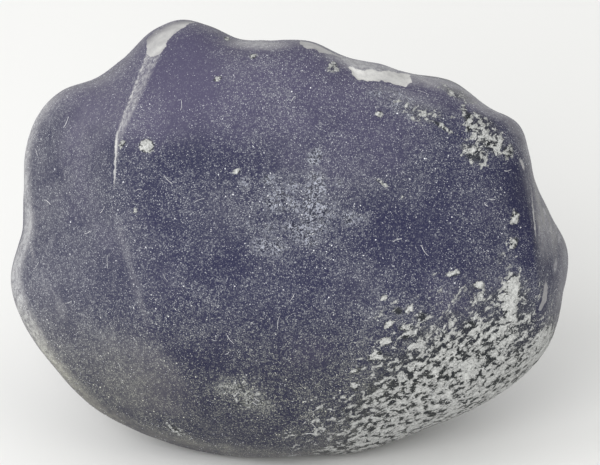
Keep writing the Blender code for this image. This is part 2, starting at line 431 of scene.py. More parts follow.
# %% The thick drift's edge, and the drifts: side, middle, half length, half width, turn, thickness
THICK_DRIFT = (
    (21.8, -2.5), (20.6, -1.2), (19.2, -1.8), (17.5, -3.8), (15.0, -4.5), (13.0, -5.4), (10.6, -6.4),
    (8.9, -8.0), (7.2, -9.4), (6.0, -11.4), (4.4, -13.6), (2.0, -17.2), (1.4, -30.0), (40.0, -30.0),
    (40.0, -6.0), (23.5, -6.5), (22.8, -5.6),
)  # fmt: skip
DRIFT_EDGE = (-4.8 * MM, 5.6 * MM)
EDGE_STRAYS = 2.6 * MM
CRUST_ENDS_BEHIND = (-9.0 * MM, -3.0 * MM)
SIDES_MEET = (-1.5 * MM, 1.0 * MM)
THICKEST = 1.6
CRUST_ON_BREAKS = 0.15
OVAL_FALL = (0.25, 1.15)
FRONT, BACK = 1, -1
DRIFTS = (
    # The thick drift's right end, and crumbs along its upper edge
    (FRONT, 19.6, -4.2, 3.0, 1.1, 80, 1.45),
    (FRONT, 22.2, -9.0, 4.0, 1.6, 60, 1.20),
    (FRONT, 16.8, -3.1, 0.75, 0.60, 0, 1.05),
    (FRONT, 14.5, -2.1, 1.20, 0.36, 5, 0.95),
    (FRONT, 8.3, -4.2, 0.50, 0.44, 0, 1.0),
    (FRONT, 9.6, -5.4, 0.75, 0.50, -20, 1.05),
    (FRONT, 10.5, -5.2, 0.70, 0.40, 60, 1.05),
    (FRONT, 8.7, -6.6, 0.66, 0.56, 10, 1.10),
    (FRONT, 10.3, -6.9, 1.20, 0.48, 0, 1.0),
    (FRONT, 10.2, -7.6, 0.70, 0.60, 0, 1.0),
    (FRONT, 8.5, -8.1, 0.82, 0.60, 0, 1.05),
    (FRONT, 7.5, -9.4, 1.20, 0.50, 35, 1.0),
    (FRONT, 11.8, -5.9, 1.10, 0.80, 0, 0.95),
    (FRONT, 16.1, -6.7, 0.80, 0.60, 0, 1.2),
    (FRONT, 5.8, -12.1, 0.66, 0.85, 0, 1.0),
    (FRONT, 5.9, -10.7, 1.40, 0.40, 30, 0.95),
    (FRONT, 4.0, -16.4, 6.5, 1.2, 10, 0.50),
    # The upper right
    (FRONT, 17.4, 10.3, 3.5, 2.1, -50, 0.88),
    (FRONT, 16.4, 8.6, 2.3, 1.4, -30, 0.87),
    (FRONT, 15.9, 11.3, 1.4, 0.42, 82, 1.20),
    (FRONT, 7.9, 12.1, 0.55, 0.40, 20, 1.2),
    (FRONT, 13.6, 10.9, 1.9, 0.36, -32, 0.9),
    (FRONT, 19.4, 8.8, 1.0, 0.9, 60, 0.90),
    (FRONT, 15.6, 12.0, 1.9, 0.5, -75, 0.80),
    (FRONT, 14.9, 13.9, 2.8, 0.8, -30, 0.78),
    (FRONT, 11.6, 12.2, 4.4, 1.6, -14, 0.60),
    # Down the right
    (FRONT, 20.0, 2.9, 1.0, 0.6, 84, 1.10),
    (FRONT, 19.9, 0.6, 1.0, 0.6, 60, 0.90),
    (FRONT, 19.4, 1.4, 2.4, 1.2, 84, 0.52),
    (FRONT, 18.9, -0.6, 1.5, 0.8, 30, 0.62),
    # The thin fringe of the thick drift, and the bottom
    (FRONT, 15.6, -3.6, 2.6, 1.4, 20, 0.55),
    (FRONT, 12.0, -4.6, 2.6, 1.2, 25, 0.50),
    (FRONT, 8.6, -5.6, 2.4, 1.6, 40, 0.50),
    (FRONT, 5.2, -10.0, 2.4, 1.2, 50, 0.48),
    (FRONT, 2.6, -14.6, 2.6, 1.4, 40, 0.52),
    (FRONT, -4.7, -13.0, 2.8, 2.3, 20, 0.60),
    (FRONT, -10.3, -16.0, 1.6, 0.5, -35, 0.85),
    (FRONT, 0.3, -16.4, 2.2, 0.6, 5, 0.56),
    # Single spots
    (FRONT, 3.9, 16.2, 0.9, 0.9, -30, 0.75),
    (FRONT, -12.7, 9.25, 0.78, 0.74, 0, 2.4),
    (FRONT, -14.85, 9.45, 0.42, 0.34, 70, 1.6),
    (FRONT, -3.3, 17.2, 0.46, 0.36, 0, 1.3),
    (FRONT, -5.6, 18.8, 0.36, 0.32, 0, 1.1),
    (FRONT, -6.4, 15.2, 0.70, 0.30, 25, 1.3),
    (FRONT, -4.7, 7.0, 0.40, 0.36, 0, 1.4),
    (FRONT, 8.1, 6.0, 0.80, 0.18, -32, 1.4),
    (FRONT, 10.0, 4.8, 0.35, 0.18, 60, 1.4),
    (FRONT, -13.7, 3.5, 0.34, 0.26, 60, 1.2),
    # Behind
    (BACK, 4.0, -15.0, 9.0, 5.0, 5, 0.85),
    (BACK, 15.0, -6.0, 7.0, 4.0, 50, 0.72),
    (BACK, -13.0, 4.0, 5.5, 3.2, 60, 0.56),
    (BACK, 6.0, 9.0, 5.5, 3.2, -20, 0.54),
    (BACK, -6.0, -9.0, 6.5, 4.0, -15, 0.56),
)


def oval(point, x, v, half_length, half_width, turn):
    """One in the middle of an oval, falling smoothly to nothing at its rim."""
    t = math.radians(turn)
    dx = point[:, 0] / MM - x
    dv = point[:, 1] / MM - v
    along = (dx * math.cos(t) + dv * math.sin(t)) / half_length
    across = (dv * math.cos(t) - dx * math.sin(t)) / half_width
    return 1 - smooth_step(np.hypot(along, across), *OVAL_FALL)


patchy = layered(surface, (0.7, 2.2 * MM, 3), (0.5, 0.8 * MM, 4))
crust = smooth_step(inside_by(surface[:, :2], THICK_DRIFT) + EDGE_STRAYS * patchy, *DRIFT_EDGE)
crust *= smooth_step(surface[:, 2], *CRUST_ENDS_BEHIND)
for side, *shape, thickness in DRIFTS:
    on_side = smooth_step(side * surface[:, 2], *SIDES_MEET)
    crust = np.maximum(crust, thickness * oval(surface, *shape) * on_side * (1 + 0.4 * patchy))
crust = np.clip(crust, 0, THICKEST)
crust = np.where(scar > 0, crust * CRUST_ON_BREAKS, crust)
print("crust covers", round(float((crust > 0.3).mean()) * 100), "percent of the surface")

# %% [markdown]
# ## Where the frost and the painted sheen are thick
# The frost is a dull bloom that greys the violet. The same number also paints the grey sheen of
# light grazing the edges, the light of the left side and of the thin steep side, so part of this
# grey is painted light. It is thick along worn edges, over the left and the lower left, down the
# worn part of the ridge, and on the steep side at the right. This is one more number at each
# point, from nothing to one. Its thickness and width along the edge change around the outline,
# and soft ovals add single streaks and painted soft highlights. Behind, it is thin and even.

# %% The frost and painted sheen, with its ovals: middle, half length, half width, turn and thickness
EDGE_FROST_AND_SHEEN = ((0, 0.55), (26, 0.60), (45, 0.75), (70, 0.55), (100, 0.30), (135, 0.15), (158, 0.95),
              (185, 1.00), (215, 0.50), (250, 0.25), (290, 0.2), (340, 0.35))  # fmt: skip
EDGE_WIDTH = ((0, 1.0), (30, 1.0), (60, 1.0), (90, 0.7), (140, 0.7), (160, 0.75), (195, 0.6),
              (225, 0.8), (270, 0.6), (330, 0.8))  # fmt: skip
FROST_AND_SHEEN_OVALS = (
    # Along the crest
    (-3.0, 18.4, 3.6, 0.7, -3, 0.85),
    (6.7, 16.8, 4.6, 1.2, -14, 1.25),
    (12.6, 15.0, 1.9, 0.8, -20, 0.60),
    (15.6, 14.0, 3.4, 0.6, -30, 0.50),
    (19.9, 11.0, 2.8, 0.7, -50, 0.45),
    # Down the left edge
    (-23.2, 0.2, 1.7, 0.16, -74, 0.85),
    (-24.2, -4.2, 3.2, 0.35, -72, 0.70),
    (-20.5, -5.2, 2.2, 0.9, -60, 0.30),
    # Below the crest
    (10.5, 13.6, 4.2, 0.9, -18, 0.22),
    # Painted soft highlights on the steep side, and a line on the shoulder
    (22.7, 3.3, 0.9, 0.25, 97, 0.95),
    (23.3, 1.9, 0.7, 0.28, 100, 0.95),
    (24.1, 1.0, 0.6, 0.22, 80, 0.85),
    (23.7, -1.4, 0.9, 0.22, 85, 0.80),
    (21.15, 9.0, 1.1, 0.13, 95, 0.9),
    # The lower left, and down the ridge
    (-16.0, -10.0, 9.0, 5.0, -40, 0.20),
    (-14.2, -1.5, 7.0, 0.55, -74, 0.22),
)
EDGE_FALL = (0.1, 1.7)
NARROWEST_EDGE = 0.3
# The top edge begins and ends gently between these angles, in degrees from the right.
TOP_BEGINS, TOP_ENDS = (30.0, 44.0), (138.0, 152.0)
LEFT_PAINTED_LIGHT = 0.22
SIDE_FROST_AND_LIGHT = 0.62
BACK_FROST = 0.15

theta = np.degrees(np.arctan2(surface[:, 1], surface[:, 0]))
radius = np.hypot(surface[:, 0], surface[:, 1])
from_edge = around(theta, OUTLINE) - radius / MM
edge_reach = np.maximum(around(theta, EDGE_WIDTH), NARROWEST_EDGE)
# The grey along the outline is frost and a painted sheen of light grazing the edges.
edge_frost_and_sheen = around(theta, EDGE_FROST_AND_SHEEN) * (1 - smooth_step(from_edge / edge_reach, *EDGE_FALL))
# Painted light: the left side is made paler, as light from the left makes it.
left_painted_light = LEFT_PAINTED_LIGHT * (1 - smooth_step(surface[:, 0], -24 * MM, -10 * MM))
crease = CREASE_OUT + CREASE_LEAN * surface[:, 1]
# The steep right side is frosted, and paler with painted light that shines through its thin edge.
side_frost_and_light = SIDE_FROST_AND_LIGHT * smooth_step(surface[:, 0], crease - 0.1 * MM, crease + 0.5 * MM)
side_frost_and_light *= smooth_step(surface[:, 1], -2.0 * MM, 2.5 * MM)
frost = edge_frost_and_sheen + left_painted_light
for *shape, thickness in FROST_AND_SHEEN_OVALS:
    frost = np.maximum(frost, thickness * oval(surface, *shape))

# Along the top, the front's frost thins out before the surface turns over.
along_top = smooth_step(theta, *TOP_BEGINS) * (1 - smooth_step(theta, *TOP_ENDS))
faces_front = smooth_step(surface[:, 2], (3.0 * along_top - 0.5) * MM, (4.5 * along_top + 1.5) * MM)
frost = BACK_FROST + (np.maximum(frost, side_frost_and_light) - BACK_FROST) * faces_front
frost = np.clip(frost + 0.08 * wobble(surface, 6.0 * MM, 5), 0, 1)
print("frost is", round(float(frost.mean()), 2), "thick on average")

# %% [markdown]
# ## The painted dark rim and the smooth patches
# A hair-thin dark rim of painted shade runs along the top edge, where the surface turns away.
# A strip low on the left, the shoulder at the upper right, the steep side and the face below the
# peak are smoother than the rest, so pale grains are scarce there. Each is again a number from
# nothing to one.

# %% The painted dark rim, and the smooth patches: middle, half length, half width, turn and smoothness
PAINTED_RIM_SHADE = (0.04, 0.22)
PAINTED_RIM_SHADE_FADES = (3.5 * MM, 6.0 * MM)
SMOOTH_STRIP = ((-18.6, -12.6), (-15.2, -14.6), (-13.4, -15.6), (-11.2, -16.6), (-6.0, -18.0),
                (-6.0, -30.0), (-40.0, -30.0), (-22.0, -10.0))  # fmt: skip
SMOOTH_OVALS = (
    (20.2, 11.0, 3.0, 0.8, -50, 0.80),
    (-9.5, 15.5, 5.5, 4.0, 60, 0.55),
)
SMOOTH_SIDE = 0.18

# The rim is painted shade: a thin dark line just inside the top of the outline.
rim = (1 - smooth_step(from_edge, *PAINTED_RIM_SHADE)) * along_top * smooth_step(surface[:, 2], *PAINTED_RIM_SHADE_FADES)
polish = smooth_step(inside_by(surface[:, :2], SMOOTH_STRIP), 0, 0.2 * MM)
side_polish = SMOOTH_SIDE * smooth_step(surface[:, 0], crease - 0.1 * MM, crease + 0.3 * MM)
polish = np.maximum(polish, side_polish)
for *shape, smoothness in SMOOTH_OVALS:
    polish = np.maximum(polish, smoothness * oval(surface, *shape))
print("smooth patches cover", round(float((polish > 0.3).mean()) * 100), "percent of the surface")

# %% [markdown]
# ## Where the salt lies thick
# The salt of pale grains is nowhere even. It is thick in torn patches in the middle, at the lower
# left and low down, and the flanks of the ridge and the right are almost free of it. Noise gives
# the first unevenness, and soft ovals add to it or take from it.

# %% The salt's thickness: middle, half length, half width, turn and share
SALTY = (
    (0.4, 3.2, 6.8, 5.2, 10, 0.60),
    (2.1, 5.2, 2.9, 1.9, 80, 0.84),
    (2.2, 8.3, 1.5, 1.0, 60, 0.70),
    (0.1, 3.8, 2.2, 1.7, 0, 0.70),
    (1.8, 1.1, 1.7, 1.5, 0, 0.66),
    (-2.2, 0.3, 2.8, 1.8, -20, 0.52),
    (5.4, 2.7, 2.8, 1.6, 0, 0.50),
    (4.1, 6.0, 1.1, 0.9, 0, 0.64),
    (-1.8, 6.1, 1.2, 1.1, 0, 0.72),
    (-4.0, 6.0, 1.0, 1.1, 0, 0.70),
    (-1.6, 13.6, 3.6, 2.4, -20, 0.36),
    (9.6, 13.2, 5.5, 1.8, -20, 0.50),
    (-17.5, -6.3, 3.8, 2.6, -40, 0.36),
    (-5.4, -12.3, 2.6, 1.7, 15, 0.64),
    (-3.2, -13.4, 2.8, 1.6, -20, 0.58),
    (6.0, -6.5, 8.0, 3.6, 30, 0.30),
)
CLEAN = (
    (-9.0, 15.6, 3.2, 4.4, 10, 0.42),
    (-18.0, 12.2, 4.2, 2.4, 25, 0.34),
    (-9.5, 10.6, 3.0, 2.4, 0, 0.28),
    (20.6, 3.5, 1.6, 6.0, 6, 0.36),
    (10.5, 1.0, 5.5, 4.0, 0, 0.20),
)
SALT_EVERYWHERE = 0.21
SALT_WITH_FROST = 0.12

salt = SALT_EVERYWHERE + 0.16 * wobble(surface, 3.4 * MM, 10) + 0.10 * wobble(surface, 1.3 * MM, 11)
torn = 1 + 0.5 * wobble(surface, 0.9 * MM, 12) + 0.45 * wobble(surface, 2.2 * MM, 13)
for *shape, share in SALTY:
    salt = np.maximum(salt, share * oval(surface, *shape) * torn)
for *shape, share in CLEAN:
    salt -= share * oval(surface, *shape)
salt = np.clip(salt + SALT_WITH_FROST * frost, 0, 1)
print("the salt is", round(float(salt.mean()), 2), "thick on average")

# %% [markdown]
# ## Fine relief
# Dissolving leaves a skin of very low lumps, a few hundredths of a millimetre high, and the
# crust stands up as a rough layer. The back gets broader lumps of a tenth or two as well, so
# that it isn't plainer than the front. All are pushed straight out of the surface. Anything finer
# than the squares is left to the material's bump.

# %% Push the relief out, each layer with its height in millimetres, its size and its seed
SKIN = ((0.035, 2.6 * MM, 6), (0.022, 1.1 * MM, 7))
BACK_LUMPS = ((0.16, 5.5 * MM, 17), (0.05, 1.9 * MM, 18))
BACK_BEGINS = (0.5 * MM, 4.0 * MM)
CRUST_HEIGHT = 0.13

lumps = layered(surface, *SKIN)
grit = 0.5 + 0.5 * wobble(surface, 0.55 * MM, 8)
lumps += smooth_step(-surface[:, 2], *BACK_BEGINS) * layered(surface, *BACK_LUMPS)
surface += ((lumps + CRUST_HEIGHT * crust * grit) * MM)[:, None] * outward
print("the relief runs from", round(float(lumps.min()), 2), "to", round(float(lumps.max()), 2), "mm")

# %% [markdown]
# ## Standing on its sole
# The drawn points are turned into room points. What would lie below the table is pressed flat,
# which gives the same flat sole as the solid's, and the middle of the whole goes where the
# solid's is. The drawn place of each point is kept too, because patterns follow the front.

# %% Stand the crystal on its sole
room = surface @ STAND_UP
room[:, 2] = np.maximum(room[:, 2], -SOLE_DROP)
middle = (room.min(axis=0) + room.max(axis=0)) / 2
centre = Vector(((low[0] + high[0]) / 2 - middle[0], (low[1] + high[1]) / 2 - middle[1], SOLE_DROP))
room += np.array(centre)
drawn = (room - np.array(centre)) @ STAND_UP.T
print("the outline's centre is at", [round(part / MM, 2) for part in centre], "mm")

# %% [markdown]
# ## The body's mesh
# The ball's points move to their places in the room. Every number worked out so far is stored at
# them under its name, and the material and the scattering read it from there.

# %% Make the body's mesh, with its numbers and its drawn place at each point
for vertex, place in zip(ball.verts, room):
    vertex.co = place
mesh = bpy.data.meshes.new("frosted_crystal")
ball.to_mesh(mesh)
ball.free()
mesh.shade_smooth()
for name, values in (
    ("crust", crust),
    ("frost", frost),
    ("scar", scar / MM),
    ("pale", pale),
    ("polish", polish),
    ("salt", salt),
    ("rim", np.where(scar > 0, 0, rim)),
):
    attribute = mesh.attributes.new(name, "FLOAT", "POINT")
    attribute.data.foreach_set("value", values.astype(np.float32))
attribute = mesh.attributes.new("drawn", "FLOAT_VECTOR", "POINT")
attribute.data.foreach_set("vector", drawn.astype(np.float32).ravel())
crystal = bpy.data.objects.new("frosted_crystal", mesh)
bpy.context.scene.collection.objects.link(crystal)
print("the crystal has", sum(len(face.vertices) - 2 for face in mesh.polygons), "triangles")

# %% [markdown]
# ## Arithmetic on shader sockets
# A material's pattern is easier to read as a formula than as a web of nodes. This small class
# wraps the output of a node, and its plus, minus, times and abs add the Math nodes that do the
# sum. Every other node comes from one method: its type, its settings, and its inputs.


# %% A class for formulas made of nodes
class Wire:
    """The output of a shader node. Arithmetic on it adds Math nodes."""

    def __init__(self, shop, socket):
        self.shop = shop
        self.socket = socket

    def sum(self, operation, first, second):
        return self.shop.add("ShaderNodeMath", {"operation": operation}, {0: first, 1: second})

    def __add__(self, other):
        return self.sum("ADD", self, other)

    def __sub__(self, other):
        return self.sum("SUBTRACT", self, other)

    def __mul__(self, other):
        return self.sum("MULTIPLY", self, other)

    def __rsub__(self, other):
        return self.sum("SUBTRACT", other, self)

    def __abs__(self):
        return self.shop.add("ShaderNodeMath", {"operation": "ABSOLUTE"}, {0: self})

    __radd__ = __add__
    __rmul__ = __mul__


class Shop:
    """Adds nodes to one material's tree."""

    def __init__(self, tree):
        self.tree = tree

    def add(self, kind, settings=None, inputs=None, output=0):
        """A new node with its settings and inputs, and the wire that leaves it."""
        node = self.tree.nodes.new(kind)
        for name, value in (settings or {}).items():
            setattr(node, name, value)
        for key, value in (inputs or {}).items():
            if isinstance(value, Wire):
                self.tree.links.new(value.socket, node.inputs[key])
            else:
                node.inputs[key].default_value = value
        return Wire(self, node.outputs[output])

    def step(self, value, start, end):
        """Nothing below start, one above end, and smooth between them."""
        inputs = {"Value": value, "From Min": start, "From Max": end}
        return self.add("ShaderNodeMapRange", {"interpolation_type": "SMOOTHSTEP"}, inputs)

    def mix(self, share, first, second):
        """A colour between two colours. A Mix node takes its colours at sockets 6 and 7."""
        inputs = {0: share, 6: first, 7: second}
        return self.add("ShaderNodeMix", {"data_type": "RGBA"}, inputs, output=2)

    def noise(self, place, size, detail=2.0, roughness=0.5, distortion=0.0):
        """Noise from nothing to one, with lumps of that size in metres."""
        inputs = {"Vector": place, "Scale": 1 / size, "Detail": detail, "Roughness": roughness}
        inputs["Distortion"] = distortion
        return self.add("ShaderNodeTexNoise", None, inputs)

    def spots(self, place, size, share):
        """Round dots, one to a cell of that size, and a number of its own for each dot."""
        inputs = {"Vector": place, "Scale": 1 / size}
        away = self.add("ShaderNodeTexVoronoi", None, inputs)
        own = Wire(self, away.socket.node.outputs[1])
        return 1 - self.step(away, share * 0.5, share), own

    def number(self, name):
        """A number that is stored at each point of the mesh."""
        return self.add("ShaderNodeAttribute", {"attribute_name": name}, output=2)


def start_material(name):
    """A new material, the shop that adds nodes to it, and its shader."""
    material = bpy.data.materials.new(name)
    material.use_nodes = True
    return material, Shop(material.node_tree), material.node_tree.nodes["Principled BSDF"]


print("formulas are ready")

# %% [markdown]
# ## Frosted fluorite
# Up close the crystal is dark violet with a dense salt of pale grains, each a tenth of a
# millimetre or so. Over that lie the frost with its painted sheen, the pale lines of the ridge, a
# painted highlight on the crease, the pale breaks, and the chalk under the loose flakes. Each is a
# mask from nothing to one, and the colours are laid over each other in the order in which they lie
# on the crystal. Before that, the formulas need to know where on the crystal a point is and what is
# stored there.

# %% The crystal's material: where on the crystal a point is
material, shop, shader = start_material("frosted_fluorite")
place = shop.add("ShaderNodeTexCoord", output=3)
drawn_at = shop.add("ShaderNodeAttribute", {"attribute_name": "drawn"}, output=1)
x_at = shop.add("ShaderNodeSeparateXYZ", None, {"Vector": drawn_at})
v_at = Wire(shop, x_at.socket.node.outputs[1])
w_at = Wire(shop, x_at.socket.node.outputs[2])
crust_here = shop.number("crust")
frost_and_sheen_here = shop.number("frost")
scar_here = shop.number("scar")
pale_here = shop.number("pale")
polish_here = shop.number("polish")
salt_here = shop.number("salt")
painted_rim_shade_here = shop.number("rim")
CRUST_TURN = math.radians(42.0)
CRUST_STRETCH = (0.72, 1.0, 0.9)
turned = shop.add(
    "ShaderNodeVectorRotate", {"rotation_type": "Z_AXIS"}, {"Vector": drawn_at, "Angle": -CRUST_TURN}
)
along_crust = shop.add("ShaderNodeVectorMath", {"operation": "MULTIPLY"}, {0: turned, 1: CRUST_STRETCH})
print("the material reads seven stored numbers and the drawn place")

# %% [markdown]
# ## The crystal's colours
# All of them are greyed blues and violets, from almost black in the gaps to almost white in the
# painted glints, and only the chalk, the breaks and the streaks are neutral or a little warm. The
# pits' dark colour also paints the shade of the rim, and the breaks' pale colour also paints a
# highlight. The drab one isn't a colour but a tint, which takes a fifth of the blue away.

# %% Colours
DEEP_VIOLET = (0.060, 0.053, 0.101, 1.0)
DEEP_BLUE = (0.006, 0.0065, 0.038, 1.0)
GRAIN = (0.105, 0.108, 0.138, 1.0)
WORM = (0.290, 0.300, 0.318, 1.0)
CURL = (0.360, 0.374, 0.440, 1.0)
GAP = (0.007, 0.008, 0.020, 1.0)
DOT = (0.530, 0.540, 0.555, 1.0)
GLINT = (0.780, 0.790, 0.820, 1.0)
FROST_AND_SHEEN = (0.350, 0.345, 0.355, 1.0)
PALE_BREAK_AND_HIGHLIGHT = (0.590, 0.586, 0.570, 1.0)
DULL_BREAK = (0.085, 0.080, 0.105, 1.0)
CHALK = (0.550, 0.554, 0.540, 1.0)
CHALK_SHADE = (0.200, 0.204, 0.200, 1.0)
DRAB = (1.0, 0.99, 0.80)
PIT_AND_RIM_SHADE = (0.007, 0.009, 0.010, 1.0)
STREAK = (0.250, 0.250, 0.243, 1.0)
print("the crystal is painted in fifteen colours and one tint")

# %% [markdown]
# ## The dark stone
# The stone itself is very dark, and it turns from blue to violet in broad, vague areas. Towards
# the top it is more violet and much lighter, partly its own colour and partly painted light from
# above. One slow noise, pushed up with height, blends the two colours.

# %% The dark stone
VIOLET_AND_LIGHT_RISE = (4.0 * MM, 17.0 * MM)
VIOLET_FROM, VIOLET_WHOLE = 0.55, 1.0

broad = shop.noise(place, 9.0 * MM, 2.0)
# Pushing violet up with height also paints the top lighter, as light from above does.
violet_and_light_towards_top = shop.step(v_at, *VIOLET_AND_LIGHT_RISE)
violet = shop.step(broad + 0.5 * violet_and_light_towards_top, VIOLET_FROM, VIOLET_WHOLE)
colour = shop.mix(violet, DEEP_BLUE, DEEP_VIOLET)
print("the stone has", len(material.node_tree.nodes), "nodes so far")

# %% [markdown]
# ## The salt of pale grains
# Etching leaves grains of several kinds: a haze too fine to count, short curved worms, small
# lumps and round dots. A few bright painted glints stand for light caught by tiny crystal faces.
# Each kind is its own noise or its own set of round cells, cut off sharply, and the amount of salt
# at a point moves the cut. Where the grains have gathered, they lie in pale curls over dark gaps,
# and the other kinds give way to the curls.

# %% Noises that the grains share, and the amount of salt
MOST_SALT = 0.42
GATHERED_FROM, GATHERED_WHOLE = 0.35, 0.75
SMOOTH_CLEARS = 0.85

fine = shop.noise(place, 0.095 * MM, 2.0, 0.6)
coarse = shop.noise(place, 0.42 * MM, 2.0, 0.6)
clumps = shop.noise(place, 2.4 * MM, 3.0, 0.62)
thin_salt = shop.add("ShaderNodeMath", {"operation": "MINIMUM"}, {0: salt_here, 1: MOST_SALT})
salted = thin_salt + 0.25 * crust_here + 0.40 * (clumps - 0.5)
gathered = shop.step(salt_here, GATHERED_FROM, GATHERED_WHOLE)
clear = 1 - polish_here * SMOOTH_CLEARS
print("three noises and the salt are ready")

# %% A mask for each kind of grain
STREWN_BY = 0.3 * MM
DOTS = (0.12 * MM, 0.46)
GLINT_CELLS = (0.34 * MM, 0.21)

nudge = shop.add("ShaderNodeTexNoise", None, {"Vector": place, "Scale": 1 / (0.6 * MM)}, output=1)
nudges = {0: nudge, 1: (STREWN_BY, STREWN_BY, STREWN_BY), 2: place}
strewn = shop.add("ShaderNodeVectorMath", {"operation": "MULTIPLY_ADD"}, nudges)
spot, own = shop.spots(strewn, *DOTS)
dots = spot * shop.step(own + 0.45 * salted, 0.50, 1.15)
spot, own = shop.spots(strewn, *GLINT_CELLS)
painted_glints = spot * shop.step(own + 0.30 * salted, 0.78, 1.0)
haze = shop.step(fine + 0.26 * salted, 0.40, 0.84)
worms = 1 - shop.step(abs(shop.noise(place, 0.24 * MM, 1.5, 0.5, 0.6) - 0.5), 0.012, 0.050)
worms = worms * shop.step(coarse + 0.40 * salted, 0.56, 0.74)
grain_lumps = shop.step(shop.noise(place, 0.17 * MM, 2.0, 0.55, 1.2) + 0.16 * salted, 0.60, 0.68)
curls = shop.step(shop.noise(place, 0.22 * MM, 2.0, 0.6, 1.2), 0.47, 0.60) * gathered
grains = shop.add("ShaderNodeMath", {"operation": "MAXIMUM"}, {0: worms, 1: dots})
print("six kinds of grain make it", len(material.node_tree.nodes), "nodes")

# %% [markdown]
# ## Grains, frost and painted light over the stone
# The gaps and the haze lie lowest, then the frost with its painted sheen as a soft bloom, then the
# grains that stand clear of it and the painted glints. Last comes the dark rim along the top, which
# is painted shade. Low down, the whole is tinted a little towards olive.

# %% Lay the grains, the frost and the painted light over the stone
GAPS_SHOW = 0.82
WORMS_SHOW = 0.38
LUMPS_SHOW = 0.36
DOTS_SHOW = 0.78
THICK_FROST_AND_SHEEN_SHOWS = 0.40
PAINTED_RIM_SHADE_SHOWS = 0.42
DRAB_FROM, DRAB_GONE = -14.0 * MM, -2.0 * MM

colour = shop.mix(gathered * GAPS_SHOW, colour, GAP)
colour = shop.mix((0.34 * haze + 0.03) * clear * (1 - 0.75 * gathered), colour, GRAIN)
frost_and_sheen_share = frost_and_sheen_here * (0.8 * fine + 0.9 * coarse + 1.3 * clumps - 0.76)
colour = shop.mix(frost_and_sheen_share, colour, FROST_AND_SHEEN)
thick_frost_and_sheen = shop.step(frost_and_sheen_here, 0.6, 1.0) * shop.step(coarse + 0.5 * fine, 0.65, 0.95)
colour = shop.mix(thick_frost_and_sheen * THICK_FROST_AND_SHEEN_SHOWS, colour, DOT)
colour = shop.mix(worms * clear * WORMS_SHOW, colour, WORM)
colour = shop.mix(grain_lumps * clear * LUMPS_SHOW * (1 - 0.8 * gathered), colour, WORM)
colour = shop.mix(curls * (0.10 + 1.30 * coarse), colour, CURL)
colour = shop.mix(dots * clear * DOTS_SHOW * (1 - 0.35 * gathered), colour, DOT)
# Painted glints: light caught by tiny crystal faces, painted as bright spots.
colour = shop.mix(painted_glints * clear, colour, GLINT)
# Painted shade: the thin dark rim along the top edge, in the pits' dark colour.
colour = shop.mix(painted_rim_shade_here * PAINTED_RIM_SHADE_SHOWS, colour, PIT_AND_RIM_SHADE)
low_down = 1 - shop.step(v_at, DRAB_FROM, DRAB_GONE)
drab = shop.add("ShaderNodeVectorMath", {"operation": "MULTIPLY"}, {0: colour, 1: DRAB})
colour = shop.mix(low_down, colour, drab)
print("grains and frost make it", len(material.node_tree.nodes), "nodes")

# %% [markdown]
# ## Pale lines and a painted highlight
# The bevel beside the ridge is a pale strip with scratches along it, and the ridge below it is
# rubbed to a thin bright line. A thin painted highlight marks the crease at the right, and the
# steep side beyond it is streaked. Each line is drawn by its distance from a formula, so that it
# stays thin however coarse the squares are, and a noise stretched along v makes the scratches and
# streaks.

# %% The ridge's pale strip and its bright line
KINK = 10.2 * MM
LINE_OUT = 15.40 * MM
LINE_LEANS, LINE_LEANS_ABOVE = 0.05, 0.32
LINE_STRAYS = 0.30 * MM
STRIP_FOOT = 8.0 * MM
STRIP_WIDENS = 0.095
SCRATCH_STRETCH = (1.0, 0.12, 1.0)

above_kink = shop.add("ShaderNodeMath", {"operation": "MAXIMUM"}, {0: v_at - KINK, 1: 0.0})
straight = x_at + LINE_OUT - LINE_LEANS * (v_at - KINK) - LINE_LEANS_ABOVE * above_kink
beside = straight + LINE_STRAYS * (coarse - 0.5)
on_front = shop.step(w_at, 3.0 * MM, 5.0 * MM)
line = 1 - shop.step(abs(beside), 0.04 * MM, 0.13 * MM)
line = line * shop.step(v_at, 5.4 * MM, 6.6 * MM) * (1 - shop.step(v_at, 9.2 * MM, 11.5 * MM))
strip_width = 0.22 * MM + STRIP_WIDENS * (v_at - STRIP_FOOT)
strip = shop.step(beside, -0.25 * MM, 0.0) * (1 - shop.step(beside - strip_width, -0.15 * MM, 0.25 * MM))
strip = strip * shop.step(v_at, 7.5 * MM, 9.5 * MM) * on_front
stretched = shop.add("ShaderNodeVectorMath", {"operation": "MULTIPLY"}, {0: drawn_at, 1: SCRATCH_STRETCH})
scratches = shop.step(shop.noise(stretched, 0.22 * MM, 2.0, 0.6), 0.36, 0.66)
colour = shop.mix(strip * (0.18 + 0.55 * scratches) * (0.4 + 1.1 * coarse), colour, FROST_AND_SHEEN)
strip_edge = 1 - shop.step(abs(beside), 0.03 * MM, 0.16 * MM)
strip_edge = strip_edge * shop.step(v_at, 8.0 * MM, 10.0 * MM) * on_front
colour = shop.mix(strip_edge * scratches * (0.85 * coarse), colour, PALE_BREAK_AND_HIGHLIGHT)
colour = shop.mix(line * on_front * (0.20 + 0.7 * coarse), colour, PALE_BREAK_AND_HIGHLIGHT)
print("the ridge's strip and line make it", len(material.node_tree.nodes), "nodes")

# %% The streaks of the steep side and the crease's painted highlight
STREAK_STRETCH = (1.0, 0.25, 1.0)
STREAKS_SHOW = 0.62

